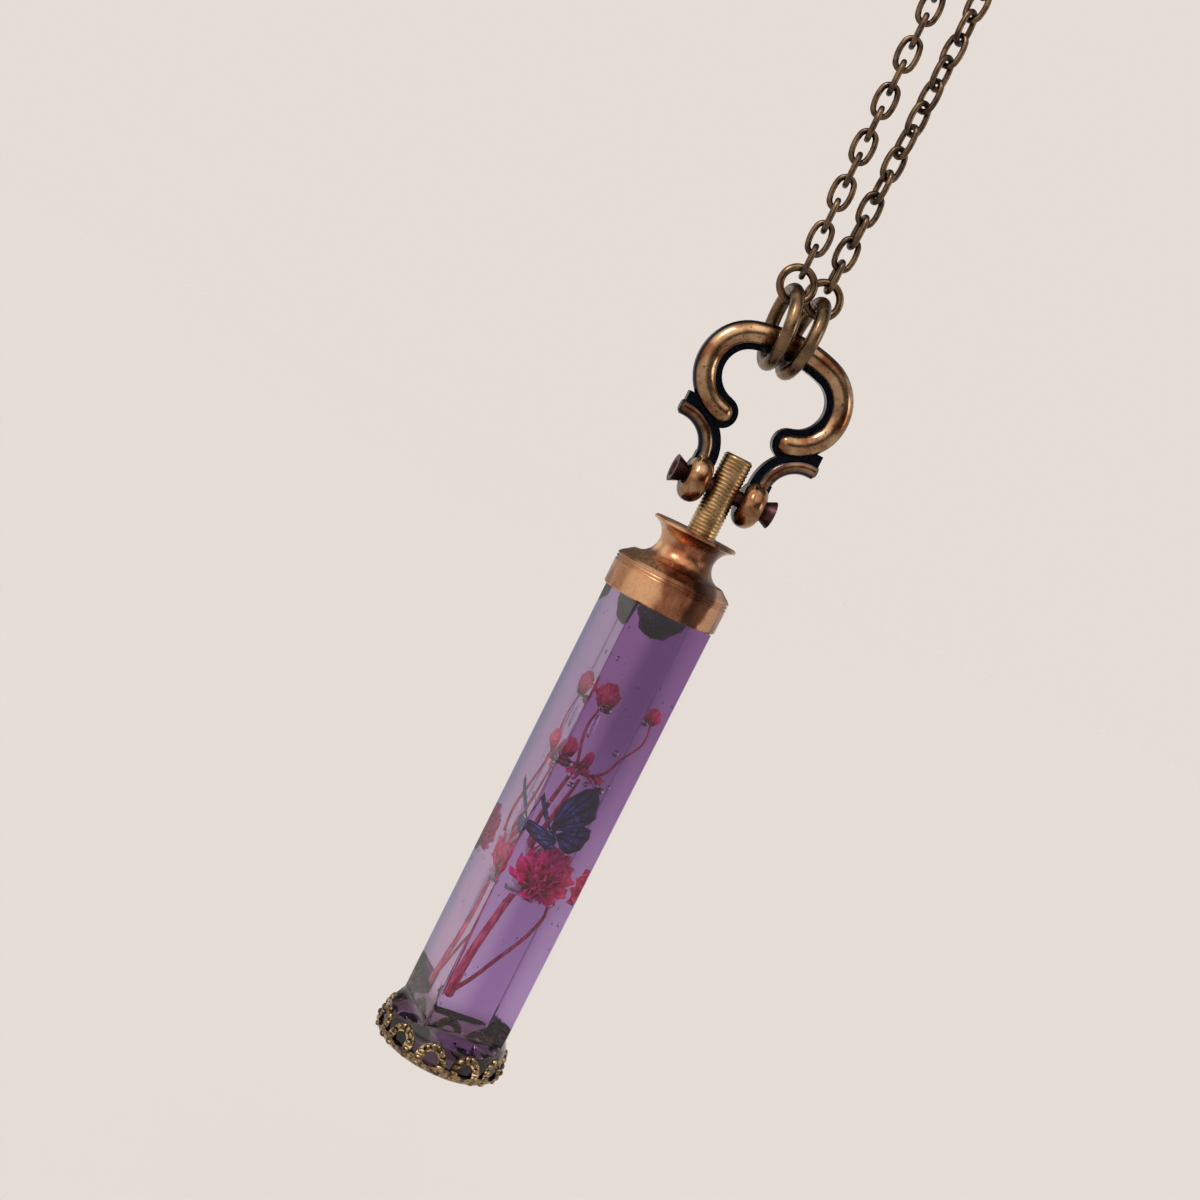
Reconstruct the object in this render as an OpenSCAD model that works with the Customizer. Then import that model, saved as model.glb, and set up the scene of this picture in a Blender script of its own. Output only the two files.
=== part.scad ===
// Necklace with a hanging pendant: a square bar of clear violet resin with dried
// flowers and a butterfly cast into it, standing in a pierced bead cap and held by
// a turned collar. A threaded stud joins the collar to a cast bow on a cross pin.
// Two large jump rings hold the bow, and two small ones link them to an oval cable
// chain, which is closed by a clasp. The necklace hangs: +Z is up, -Y is the front,
// and the origin is the inside top of the loop, where it rests on what holds it.

/* [Resin bar] */
// Width across the flats of the square bar
bar_side = 9; // [8.8:0.1:9]
// Rounding of the bar's four long edges
bar_edge_r = 0.3; // [0.2:0.05:0.4]
// Length of the bar from the tops of the cap's arches to the collar
bar_len = 48.3; // [48:0.1:60]
// Turn of the bar about its own axis, away from the plane of the bow
bar_turn = 11.6; // [0:0.2:45]
// Height to which the pooled resin rises from the cap onto the bar's faces
pool_h = 1.3; // [0.8:0.1:1.6]
// Height to which it rises on the bar's right face
pool_right_h = 2.6; // [1.8:0.1:2.8]

/* [Bead cap] */
// Height of the cap from its base to the tops of its arches
cap_h = 3.2; // [3.1:0.1:4]
// Largest outer radius of the cap
cap_r = 7; // [6.9:0.1:7.2]
// Radius of the rounded lower edge
cap_edge_r = 1.2; // [1:0.1:1.3]
// Lean of the arches towards the bar, in degrees
cap_lean = 14; // [8:1:16]
// Thickness of the cap's wall and base
cap_wall = 0.6; // [0.5:0.05:0.7]
// Number of arches round the cap
cap_arches = 11; // [10:1:12]
// Width of each arch
arch_w = 3.2; // [2.8:0.1:3.3]
// Width of the pierced window in each arch
window_w = 1.5; // [1.2:0.1:1.7]
// Turn of the arches about the cap's axis, away from the bow's front
arch_turn = -14.5; // [-16:0.5:16]

/* [Collar] */
// Radius of the collar's band
collar_r = 6.15; // [6.1:0.05:6.4]
// Height of the band
collar_band_h = 3.6; // [3.4:0.1:3.8]
// Height of the collar from its underside to the top of its flange
collar_h = 8.4; // [8.2:0.1:9]
// Smallest radius of the hollow neck
collar_neck_r = 3; // [2.8:0.1:3.2]
// Radius of the flange above the neck
collar_flange_r = 4.45; // [4.3:0.05:4.6]

/* [Stud and cross pin] */
// Radius of the threaded stud
stud_r = 1.55; // [1.45:0.05:1.6]
// Length of stud that stands above the collar
stud_out = 8.6; // [8:0.1:9]
// Length of stud screwed into the collar
stud_in = 4.5; // [3:0.5:5]
// Distance of the stud's axis from the bar's axis
stud_shift = 0.5; // [0:0.1:0.6]
// Height of the cross pin above the collar's flange
pin_above = 4.8; // [4.7:0.1:5.2]
// Radius of the cross pin's shank
pin_r = 0.8; // [0.7:0.05:0.85]
// Radius of the pin's flared heads
pin_head_r = 1.45; // [1.3:0.05:1.5]
// Length of each head
pin_head_l = 1.1; // [1:0.1:1.3]

/* [Bow] */
// Half width between the centre lines of the side mouldings
bow_half_w = 7.3; // [7.2:0.1:7.5]
// Height of the top moulding's centre line above the cross pin
bow_top_up = 16; // [15.8:0.1:16.4]
// Radius of the side mouldings' curve
bow_side_r = 4.3; // [4.2:0.1:4.4]
// Height of that curve's centre above the cross pin
bow_side_up = 11.25; // [11.1:0.05:11.4]
// Radius of the upper moulding's round section
bow_bar_r = 1.2; // [1.1:0.05:1.25]
// Radius of the lower mouldings' round section
bow_scroll_r = 0.8; // [0.7:0.05:0.85]
// Radius of the lower mouldings' curve
bow_scroll_curve = 3.7; // [3.6:0.1:3.8]
// Thickness of the flat web between the mouldings
bow_web_t = 1; // [0.9:0.1:1.2]
// Width of each boss along the cross pin
boss_w = 2.5; // [2.4:0.05:2.6]
// Radius of each boss round the cross pin
boss_r = 2.5; // [2.4:0.05:2.6]

/* [Jump rings] */
// Outer radius of the two large rings
big_ring_r = 4.55; // [4.5:0.05:4.7]
// Wire radius of the large rings
big_wire_r = 0.72; // [0.68:0.01:0.74]
// Outer radius of the small rings
small_ring_r = 2.12; // [2.1:0.01:2.2]
// Wire radius of the small rings
small_wire_r = 0.39; // [0.37:0.01:0.4]

/* [Chain] */
// Length of one oval link over its ends
link_len = 3.84; // [3.8:0.02:3.88]
// Width of one link
link_w = 2.5; // [2.45:0.05:2.6]
// Radius of the bend of a link's ends
link_end_r = 0.85; // [0.8:0.01:0.9]
// Wire radius of the links
link_wire_r = 0.3; // [0.28:0.01:0.3]
// Number of link places round the loop, an odd number
link_places = 187; // [179:2:199]
// Distance from one link to the next
link_pitch = 2.44; // [2.42:0.01:2.44]
// Radius of the loop's round top, at the links' centre line
loop_r = 7.5; // [7:0.5:9]

/* [Clasp] */
// Number of the link below the clasp, counted up the left strand, an even number
clasp_link = 78; // [60:2:80]
// Width of the clasp's body
clasp_w = 5; // [4.8:0.1:5.4]
// Thickness of the clasp's body
clasp_t = 1; // [0.9:0.05:1]

/* [Hidden] */

fit_gap = 0.06;     // between pieces that are glued or screwed together
run_gap = 0.05;     // between the cross pin and its holes
seat_gap = 0.13;    // between a ring or link and the one that it hangs on
web_gap = 0.45;     // between the bow and the bottom of the large rings
cast_gap = 0.1;     // between the resin and what is cast into it
past = 1;           // how far a cutter runs past the face that it cuts
fine = 96;
wire_fn = 32;

// The loop is a slender drop: each strand leans and bends out from the rings, then
// runs tangent into the round top.
strand_half_gap = 1.65;
strand_lean = 0.012;
loop_half_len = (link_places - 1) * link_pitch / 2;
top_share = 1.62;         // length of a quarter of the round top, in radii
strand_len = loop_half_len - top_share * loop_r;
strand_bend = (loop_r - strand_half_gap - strand_lean * strand_len) / pow(strand_len, 2);
top_lean = atan(strand_lean + 2 * strand_bend * strand_len);
top_turn = (loop_half_len - strand_len) / (90 + top_lean) * 180 / PI;
top_r = loop_r / cos(top_lean);
top_z = link_w / 2 - top_r;
strand_z = top_z - top_r * sin(top_lean) - strand_len;
strand_depth = 0.55;      // the left strand starts this far in front, the right behind
depth_run = 20;           // length over which both strands come into one plane
left_turn = -12;          // turn of the left strand's links about the strand
right_turn = 45;          // turn of the right strand's links
turn_start = 12;          // the right turn comes in over this many links; both turns
turn_stay = 60;           // stay for as many as this, and go out again
link_reach = link_len / 2 - link_wire_r;

// Heights from the chain's first link down to the cap, each piece hanging on the last
small_hole_r = small_ring_r - 2 * small_wire_r;
big_hole_r = big_ring_r - 2 * big_wire_r;
big_mid_r = big_ring_r - big_wire_r;
ring_drop = big_mid_r - sqrt(pow(big_mid_r, 2) - pow(strand_depth, 2));
small_ring_z = strand_z - link_reach + link_wire_r + seat_gap - small_hole_r;
big_ring_z = small_ring_z - small_hole_r + seat_gap + ring_drop - big_hole_r;
web_lip = 0.45;           // how far the web shows inside the mouldings
bow_top_z = big_ring_z - big_hole_r + web_gap + web_lip + bow_bar_r;
pin_z = bow_top_z - bow_top_up;
flange_z = pin_z - pin_above;
collar_z = flange_z - collar_h;
bar_z = collar_z - bar_len;
cap_z = bar_z - cap_h;
bar_x = 0.6;
bow_x = bar_x + stud_shift;

function smooth(t) = let (u = min(max(t, 0), 1)) u * u * (3 - 2 * u);

// Resin bar

module rounded_square(side, r) {
    square([side, side - 2 * r], center = true);
    square([side - 2 * r, side], center = true);
    for (x = [-1, 1], y = [-1, 1])
        translate([x, y] * (side / 2 - r)) circle(r = r, $fn = wire_fn);
}

// Half section of the cap's outer form, drawn in by d all round but at the top
module cap_section(d, h) {
    edge_x = cap_r - cap_edge_r;
    r = cap_edge_r - d;
    inner = 0.97 * r;           // the side starts just inside the round edge
    tip = [edge_x + inner * cos(cap_lean), cap_edge_r + inner * sin(cap_lean)];
    translate([edge_x, cap_edge_r]) circle(r = r, $fn = fine);
    polygon([[0, d], [edge_x, d], [edge_x, cap_edge_r], tip,
             [tip.x - (h - tip.y) * tan(cap_lean), h], [0, h]]);
}

// The pool that rises from the cap onto the four faces of the bar
module pool() {
    draw_in = 0.35;     // by how much its edge draws in, for each unit that it rises
    full_h = 1.2 * pool_right_h;
    foot_r = cap_r - (cap_h - cap_edge_r) * tan(cap_lean);
    rise = [pool_right_h, pool_h, pool_h, pool_h];     // right, back, left and front
    difference() {
        cylinder(r1 = foot_r, r2 = foot_r - full_h * draw_in, h = full_h, $fn = fine);
        for (i = [0:3]) rotate(bar_turn + 90 * i) translate([foot_r, 0, 0])
            rotate([0, atan(rise[i] / (foot_r - bar_side / 2)), 0])
                translate([-2 * foot_r, -2 * foot_r, 0]) cube(4 * foot_r);
    }
}

module resin_bar() {
    color("mediumpurple", 0.5) difference() {
        union() {
            translate([bar_x, 0, cap_z]) rotate_extrude($fn = fine) intersection() {
                cap_section(cap_wall + fit_gap, cap_h + fit_gap);
                square([2 * cap_r, 2 * cap_h]);
            }
            translate([bar_x, 0, bar_z + fit_gap]) pool();
            translate([bar_x, 0, bar_z]) rotate(bar_turn)
                linear_extrude(bar_len - fit_gap) rounded_square(bar_side, bar_edge_r);
        }
        peg_body(fit_gap);
        flower_body(cast_gap);
        stems_body(cast_gap);
        for (b = buds) bud_body(b, cast_gap);
        butterfly_body(cast_gap);
    }
}

// Bead cap

module arch_outline(w, foot, top) {
    translate([0, top - w / 2]) circle(d = w, $fn = fine);
    translate([-w / 2, foot]) square([w, top - w / 2 - foot]);
}

// Pushes a flat shape out from the cap's axis through its wall
module through_wall() {
    rotate([90, 0, 90]) linear_extrude(2 * cap_r) children();
}

module bead_cap() {
    spacing = 2 * cap_r * sin(180 / cap_arches) * 0.98;
    notch_foot = 1.3;
    window_foot = 1.1;
    window_top = cap_h - 0.8;
    color("peru") translate([bar_x, 0, cap_z]) rotate(arch_turn) difference() {
        rotate_extrude($fn = fine) difference() {
            intersection() {
                cap_section(0, cap_h);
                square([2 * cap_r, cap_h]);
            }
            intersection() {
                cap_section(cap_wall, cap_h + past);
                square([2 * cap_r, 2 * cap_h]);
            }
        }
        for (i = [0:cap_arches - 1]) rotate(-90 + i * 360 / cap_arches) {
            through_wall() arch_outline(window_w, window_foot, window_top);
            rotate(180 / cap_arches) through_wall() difference() {
                translate([-spacing / 2, notch_foot]) square([spacing, cap_h]);
                for (s = [-1, 1]) translate([s * spacing / 2, 0])
                    arch_outline(arch_w, 0, cap_h);
            }
        }
    }
}

// Collar, glue peg and stud

module collar_section() {
    scotia_r = 1.9;             // of the hollow neck, which runs out to a thin flange
    scotia_z = collar_h - 2.2;
    shoulder = 0.85;            // rise of the sloping shoulder above the band
    chamfer = 0.25;
    lip = 0.12;
    groove_z = collar_band_h - 0.85;
    groove_step = 0.35;
    groove_r = 0.12;
    difference() {
        polygon([[0, 0], [collar_r - chamfer / 2, 0], [collar_r, chamfer / 2],
                 [collar_r, collar_band_h - chamfer], [collar_r - chamfer, collar_band_h],
                 [collar_neck_r + scotia_r - 0.15, collar_band_h + shoulder],
                 [collar_flange_r, collar_band_h + shoulder],
                 [collar_flange_r, collar_h - lip], [collar_flange_r - lip, collar_h],
                 [0, collar_h]]);
        translate([collar_neck_r + scotia_r, scotia_z]) circle(r = scotia_r, $fn = fine);
        for (z = [0, groove_step]) translate([collar_r, groove_z + z])
            circle(r = groove_r, $fn = wire_fn);
    }
}

module collar() {
    color("sienna") difference() {
        translate([bar_x, 0, collar_z]) rotate_extrude($fn = fine) collar_section();
        translate([bow_x, 0, flange_z - stud_in - fit_gap])
            cylinder(r = stud_r + fit_gap, h = stud_in + fit_gap + past, $fn = fine);
    }
}

// The peg of glue in the bar's top end, grown by grow to cut the hole that it fills
module peg_body(grow) {
    r = 2.6 + grow;
    h = 3.1 + grow;
    round_r = 1.2;
    top_gap = grow > 0 ? 0 : fit_gap;
    translate([bar_x, 0, collar_z - h]) rotate_extrude($fn = fine) {
        translate([0, round_r]) square([r, h - round_r - top_gap]);
        square([r - round_r, round_r]);
        translate([r - round_r, round_r]) circle(r = round_r, $fn = fine);
    }
}

module glue_peg() {
    color("indigo") peg_body(0);
}

module stud() {
    chamfer = 0.3;
    color("darkgoldenrod") difference() {
        translate([bow_x, 0, flange_z - stud_in]) {
            cylinder(r = stud_r, h = stud_in + stud_out - chamfer, $fn = fine);
            translate([0, 0, stud_in + stud_out - chamfer])
                cylinder(r1 = stud_r, r2 = stud_r - chamfer, h = chamfer, $fn = fine);
        }
        translate([bow_x, 0, pin_z]) rotate([0, 90, 0])
            cylinder(r = pin_r + run_gap, h = 4 * stud_r, center = true, $fn = fine);
    }
}

// Cross pin and bow

boss_in = stud_r + 0.3;             // from the stud's axis to a boss's inner face
boss_out = boss_in + boss_w;

module cross_pin() {
    neck_r = 0.95;
    cup_r = 0.9;
    cup_d = 0.35;
    head_start = boss_out + seat_gap;
    into_head = 0.1;
    color([0.23, 0.13, 0.15]) translate([bow_x, 0, pin_z]) {
        rotate([0, 90, 0])
            cylinder(r = pin_r, h = 2 * (head_start + into_head), center = true, $fn = fine);
        for (s = [-90, 90]) rotate([0, s, 0]) translate([0, 0, head_start]) difference() {
            cylinder(r1 = neck_r, r2 = pin_head_r, h = pin_head_l, $fn = fine);
            translate([0, 0, pin_head_l - cup_d])
                cylinder(r1 = cup_r - cup_d, r2 = cup_r + cup_d, h = 2 * cup_d, $fn = fine);
        }
    }
}

side_x = bow_half_w - bow_side_r;
join_turn = 2 * atan((bow_top_up - bow_side_up - bow_side_r) / side_x);
top_arc_r = bow_side_r + side_x / sin(join_turn);
top_arc_up = bow_top_up - top_arc_r;
lobe_turn = 170;                    // where the side moulding ends in its lobe
scroll_x = 7.1;
scroll_up = 2.1;
scroll_tip = 0.45;
tip_chamfer = 0.25;

// A round bar bent along an arc: r is the bend, from turn a to turn b clockwise from +Z
module bent_bar(r, bar, a, b) {
    rotate([90, 0, 0]) rotate(90 - b)
        rotate_extrude(angle = b - a, $fn = 2 * fine)
            translate([r, 0]) circle(r = bar, $fn = wire_fn);
}

// A flat band along an arc, in the same terms
module band(r_in, r_out, a, b) {
    reach = 3 * r_out;
    steps = 6;
    intersection() {
        difference() {
            circle(r = r_out, $fn = 2 * fine);
            circle(r = r_in, $fn = 2 * fine);
        }
        polygon(concat([[0, 0]], [for (i = [0:steps])
            let (t = a + (b - a) * i / steps) [reach * sin(t), reach * cos(t)]]));
    }
}

module bow_web() {
    lip = bow_bar_r + web_lip;
    bridge = [4.3, 1.8];        // joins the side moulding to the lower one
    bridge_at = [3.3, 5.7];
    lobe_in = 0.03;             // by how much the web is narrower round the lobe
    scroll_in = 0.6;            // of the web inside the lower moulding's centre line
    scroll_out = 1.4;           // and outside it
    foot = [2.2, 1.8];          // joins the lower moulding to the boss
    foot_at = [boss_in + 0.2, 0.8];
    translate([0, top_arc_up]) band(top_arc_r - lip, top_arc_r, -join_turn, join_turn);
    for (m = [0, 1]) mirror([m, 0]) {
        translate([side_x, bow_side_up]) {
            band(bow_side_r - lip, bow_side_r, join_turn, lobe_turn);
            rotate(-lobe_turn) translate([0, bow_side_r])
                circle(r = lip - lobe_in, $fn = fine);
        }
        translate(bridge_at) square(bridge);
        translate([scroll_x, scroll_up])
            band(bow_scroll_curve - scroll_in, bow_scroll_curve + scroll_out, -95, 0);
        translate(foot_at) square(foot);
    }
}

module boss() {
    corner = 1.2;
    rotate([0, 90, 0]) rotate_extrude($fn = fine) {
        square([boss_r - corner, boss_w]);
        translate([0, corner]) square([boss_r, boss_w - 2 * corner]);
        for (z = [corner, boss_w - corner])
            translate([boss_r - corner, z]) circle(r = corner, $fn = fine);
    }
}

module bow_half() {
    translate([side_x, 0, bow_side_up]) {
        bent_bar(bow_side_r, bow_bar_r, join_turn, lobe_turn);
        rotate([0, lobe_turn, 0]) translate([0, 0, bow_side_r]) sphere(r = bow_bar_r, $fn = fine);
    }
    translate([scroll_x, 0, scroll_up]) {
        bent_bar(bow_scroll_curve, bow_scroll_r, -90, 0);
        translate([0, 0, bow_scroll_curve]) rotate([0, 90, 0]) {
            cylinder(r = bow_scroll_r, h = scroll_tip, $fn = wire_fn);
            translate([0, 0, scroll_tip])
                cylinder(r1 = bow_scroll_r, r2 = bow_scroll_r - tip_chamfer, h = tip_chamfer,
                         $fn = wire_fn);
        }
        translate([-bow_scroll_curve, 0, -1]) cylinder(r = bow_scroll_r, h = 1, $fn = wire_fn);
    }
    translate([boss_in, 0, 0]) boss();
}

module bow() {
    color("darkkhaki") translate([bow_x, 0, pin_z]) difference() {
        union() {
            rotate([90, 0, 0]) linear_extrude(bow_web_t, center = true) bow_web();
            translate([0, 0, top_arc_up]) bent_bar(top_arc_r, bow_bar_r, -join_turn, join_turn);
            bow_half();
            mirror([1, 0, 0]) bow_half();
        }
        rotate([0, 90, 0])
            cylinder(r = pin_r + run_gap, h = 4 * boss_out, center = true, $fn = fine);
    }
}

// Jump rings

module wire_ring(r_out, wire) {
    rotate_extrude($fn = fine) translate([r_out - wire, 0]) circle(r = wire, $fn = wire_fn);
}

// Middle and lean of the large rings, left and right
big_ring_at = [-1.12, 1.45];
big_ring_lean = [-6, 1.5];

module big_ring(side) {
    color("olive") translate([big_ring_at[side], 0, big_ring_z])
        rotate([0, 90 + big_ring_lean[side], 0]) wire_ring(big_ring_r, big_wire_r);
}

module small_ring(side) {
    s = 2 * side - 1;
    color("olive") translate([s * strand_half_gap, s * strand_depth, small_ring_z])
        rotate([90, 0, 0]) wire_ring(small_ring_r, small_wire_r);
}

// Chain

// Middle of the loop's path at length s up a strand, as [out, up], and its lean
function strand_at(s) =
    s < strand_len
        ? [strand_half_gap + strand_lean * s + strand_bend * s * s, strand_z + s]
        : let (a = top_angle(s)) [top_r * cos(a), top_z + top_r * sin(a)];
function top_angle(s) = (s - strand_len) / top_turn * 180 / PI - top_lean;
function lean_at(s) = s < strand_len ? atan(strand_lean + 2 * strand_bend * s) : -top_angle(s);
function link_turn(i) =
    let (left = i < link_places / 2, k = left ? i : link_places - 1 - i)
    (left ? left_turn : right_turn * smooth(k / turn_start))
        * (1 - smooth((k - turn_stay) / turn_start));

// Puts its children at link place i, with their length along the strand
module at_link(i) {
    last = (link_places - 1) / 2;
    s = (i <= last ? i : link_places - 1 - i) * link_pitch;
    side = i <= last ? -1 : 1;
    p = strand_at(s);
    depth = side * strand_depth * (1 - smooth(s / depth_run));
    translate([side * p.x, depth, p.y]) rotate([0, side * lean_at(s), 0]) children();
}

// An oval of four arcs: two ends, and two sides that run tangent into them
module link() {
    half_w = link_w / 2 - link_wire_r;
    end_up = link_reach - link_end_r;
    side_r = (pow(half_w, 2) + pow(end_up, 2) - pow(link_end_r, 2)) / (2 * (half_w - link_end_r));
    side_turn = atan(end_up / (side_r - half_w));
    rotate([90, 0, 0]) for (s = [0, 180]) rotate(s) {
        translate([half_w - side_r, 0, 0]) rotate(-side_turn)
            rotate_extrude(angle = 2 * side_turn, $fn = fine)
                translate([side_r, 0]) circle(r = link_wire_r, $fn = wire_fn);
        translate([0, end_up, 0]) rotate(side_turn)
            rotate_extrude(angle = 180 - 2 * side_turn, $fn = fine / 2)
                translate([link_end_r, 0]) circle(r = link_wire_r, $fn = wire_fn);
    }
}

module chain(first, last) {
    color("darkkhaki") for (i = [first:last])
        at_link(i) rotate(90 * ((i + 1) % 2) + link_turn(i)) link();
}

// Clasp and its ring, which take the places of four links

clasp_places = 5;
clasp_wall = 0.7;
eye_r = 0.75;
hook_r = 1.6;
ring_seat = 0.22;
eye_up = link_reach - link_wire_r - seat_gap + eye_r;
ring_up = clasp_places * link_pitch - link_reach + link_wire_r + seat_gap - small_hole_r;
hook_up = ring_up - small_hole_r + ring_seat - hook_r;

module clasp() {
    color("olive") at_link(clasp_link) rotate([90, 0, 0])
        linear_extrude(clasp_t, center = true) difference() {
            union() {
                translate([0, hook_up]) circle(r = clasp_w / 2, $fn = fine);
                translate([0, eye_up]) circle(r = eye_r + clasp_wall, $fn = fine);
                translate([-eye_r - clasp_wall, eye_up])
                    square([2 * (eye_r + clasp_wall), hook_up - eye_up]);
            }
            translate([0, hook_up]) circle(r = hook_r, $fn = fine);
            translate([0, eye_up]) circle(r = eye_r, $fn = fine);
        }
}

module clasp_ring() {
    color("olive") at_link(clasp_link) translate([0, 0, ring_up])
        rotate([0, 90, 0]) wire_ring(small_ring_r, small_wire_r);
}

// What is cast into the bar. The sprig faces the viewer a little left of the bow's
// front, and its places are [right, back, up from the arches] in millimetres.

sprig_turn = -12;
flower_at = [1.1, 0.2, 18.6];
flower_r = 3.1;
flower_half_h = 2.9;
knot = [-1, -0.2, 30.6];
// Each bud has its name, its place and its radius
bud_name = 0;
bud_place = 1;
bud_size = 2;
buds = [["top", [-1.25, -0.5, 38.5], 1.4], ["right", [4.2, -1.6, 38.6], 0.85],
        ["left", [-2.6, -1.9, 32.2], 1.1]];
root = [-2.3, -0.2, 3.9];
fork = [-1.1, -1, 14.8];        // one branch ends at the flower, one passes behind it
// Each stem has its radius and the points that it passes
stem_size = 0;
stem_path = 1;
stems = [
    [0.42, [root, [-2.15, -1, 7], [-1.8, -1.5, 10], [-1.35, -1.4, 13], fork]],
    [0.3, [fork, [-2.2, 1.7, 16.2], [-2.6, 2.8, 18.6], [-1.8, 0.6, 26], knot]],
    [0.24, [root, [-0.8, 0.2, 6.2], [0.5, 0.3, 8.7], [1.7, 0.3, 10.9], [2.7, 0.3, 13.2],
            [3.1, 0.3, 15.2], [2.4, 0.3, 17.5]]],
    [0.2, [knot, [-1.85, -0.3, 34.4], [-1.25, -0.5, 38.5]]],
    [0.2, [knot, [1.9, -0.9, 30.8], [3.2, -1.3, 33.2], [4.5, -1.8, 35.6], [4.2, -1.6, 38.6]]],
    [0.2, [knot, [-1.9, -1.2, 30.8], [-2.6, -1.9, 32.2]]]];
knot_r = 0.5;
wing_t = 0.24;
butterfly_at = [0.2, -2, 23.2];

module cast_in() {
    translate([bar_x, 0, bar_z]) rotate(sprig_turn) children();
}

// A straight rod of radius r from a to b
module rod(a, b, r) {
    d = b - a;
    translate(a) rotate([0, acos(d.z / norm(d)), atan2(d.y, d.x)])
        cylinder(r = r, h = norm(d), $fn = wire_fn);
}

// A round swelling where rods meet
module node_ball(p, r) {
    translate(p) sphere(r = r, $fn = wire_fn);
}

// The flower head's outer size: a round cushion, flat in the middle of its two ends
module flower_body(grow) {
    r = flower_r + grow;
    half_h = flower_half_h + grow;
    flat_r = 1.7;
    edge_r = r - flat_r;
    cast_in() translate(flower_at) rotate_extrude($fn = fine) {
        translate([0, -half_h]) square([flat_r, 2 * half_h]);
        translate([0, edge_r - half_h]) square([r, 2 * (half_h - edge_r)]);
        for (s = [-1, 1]) translate([flat_r, s * (half_h - edge_r)])
            circle(r = edge_r, $fn = fine);
    }
}

module bud_body(b, grow) {
    cast_in() translate(b[bud_place]) sphere(r = b[bud_size] + grow, $fn = fine);
}

module stems_body(grow) {
    joint = 1.15;           // the swellings stand a little proud of the stems
    cast_in() {
        for (s = stems) {
            path = s[stem_path];
            r = s[stem_size] + grow;
            for (i = [1:len(path) - 1]) rod(path[i - 1], path[i], r);
            if (len(path) > 2) for (i = [1:len(path) - 2]) node_ball(path[i], r * joint);
        }
        for (p = [root, fork, knot]) node_ball(p, knot_r + grow);
    }
}

module flower_head() {
    color("mediumvioletred") flower_body(0);
}

module flower_stems() {
    color("firebrick") difference() {
        stems_body(0);
        flower_body(cast_gap);
        for (b = buds) bud_body(b, cast_gap);
    }
}

module bud(name) {
    color("lightcoral") for (b = buds) if (b[bud_name] == name) bud_body(b, 0);
}

// A pair of wings: a flat shape made into a plate that stands out from the body
module wings(turn, grow) {
    rotate(turn) rotate([90, 0, 0]) linear_extrude(wing_t + 2 * grow, center = true)
        children();
}

// One wing's outline: l long, w wide and raised by the angle up
module wing_outline(l, w, up, grow) {
    rotate(up) translate([l / 2, 0]) {
        circle(r = w / 2 + grow, $fn = fine);
        translate([-l / 2, -w / 4 - grow]) square([l, w / 2 + 2 * grow]);
        translate([l / 2, 0]) circle(r = w / 4 + grow, $fn = fine);
    }
}

module butterfly_body(grow) {
    body_l = 3;
    body_r = 0.4;
    cast_in() translate(butterfly_at) {
        rod([0, 0, -body_l / 2 - grow], [0, 0, body_l / 2 + grow], body_r + grow);
        wings(8, grow) {
            wing_outline(5.2, 2.8, 62, grow);
            wing_outline(3, 2.4, 8, grow);
        }
        wings(140, grow) {
            wing_outline(4.2, 2, 50, grow);
            wing_outline(2.6, 2, 0, grow);
        }
    }
}

module butterfly() {
    color("midnightblue") butterfly_body(0);
}

resin_bar();
bead_cap();
collar();
glue_peg();
stud();
cross_pin();
bow();
big_ring(0);  // big_ring_left
big_ring(1);  // big_ring_right
small_ring(0);  // small_ring_left
small_ring(1);  // small_ring_right
chain(0, clasp_link);  // chain_left
chain(clasp_link + clasp_places, link_places - 1);  // chain_right
clasp();
clasp_ring();
flower_head();
flower_stems();
bud("top");  // bud_top
bud("right");  // bud_right
bud("left");  // bud_left
butterfly();
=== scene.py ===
# Necklace with a violet resin bar pendant, shown hanging: flowers and a butterfly cast
# into a square bar, a pierced cap below it, a turned collar, a stud and a cast bow
# above it, and a cable chain on jump rings. Lengths are in metres, and a list or a
# parameter in millimetres says so.

import math
import random

import bmesh
import bpy
from mathutils import Matrix, Quaternion, Vector, noise


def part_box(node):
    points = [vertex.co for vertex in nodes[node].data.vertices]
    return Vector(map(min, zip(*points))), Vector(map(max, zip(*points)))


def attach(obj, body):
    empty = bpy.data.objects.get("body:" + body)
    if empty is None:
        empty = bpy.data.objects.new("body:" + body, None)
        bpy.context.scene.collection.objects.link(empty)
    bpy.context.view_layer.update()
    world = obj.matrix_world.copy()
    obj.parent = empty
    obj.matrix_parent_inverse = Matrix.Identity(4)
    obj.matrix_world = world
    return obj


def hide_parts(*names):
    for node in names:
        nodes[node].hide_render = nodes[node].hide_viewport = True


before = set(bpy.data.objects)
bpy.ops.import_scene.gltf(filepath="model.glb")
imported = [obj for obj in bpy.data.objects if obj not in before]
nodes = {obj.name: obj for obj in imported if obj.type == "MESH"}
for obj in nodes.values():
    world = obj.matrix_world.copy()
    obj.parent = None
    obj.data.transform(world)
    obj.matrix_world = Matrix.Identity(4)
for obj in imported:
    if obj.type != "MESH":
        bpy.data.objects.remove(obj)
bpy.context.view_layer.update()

# Camera. It stands left of the bow's front and a little above the pendant, and leans,
# so that the pendant's top tips to the upper right of the picture.

MM = 0.001
bar_x = 0.6 * MM                 # the bar's axis stands right of the bow's middle
foot_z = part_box("bead_cap")[1].z  # tops of the cap's arches, where the bar comes out
view_turn = math.radians(12)
view_lean = math.radians(26.5)
view_drop = math.radians(5.5)
view_reach = 180 * MM            # level distance from the bar's axis
view_half_width = 60.3 * MM      # half of what the picture spans at the bar
aim_left = 5.6 * MM              # the picture's middle lies this far left of the bar
aim_up = 46.3 * MM               # and this far above the arch tops
near_clip = 10 * MM

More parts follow.
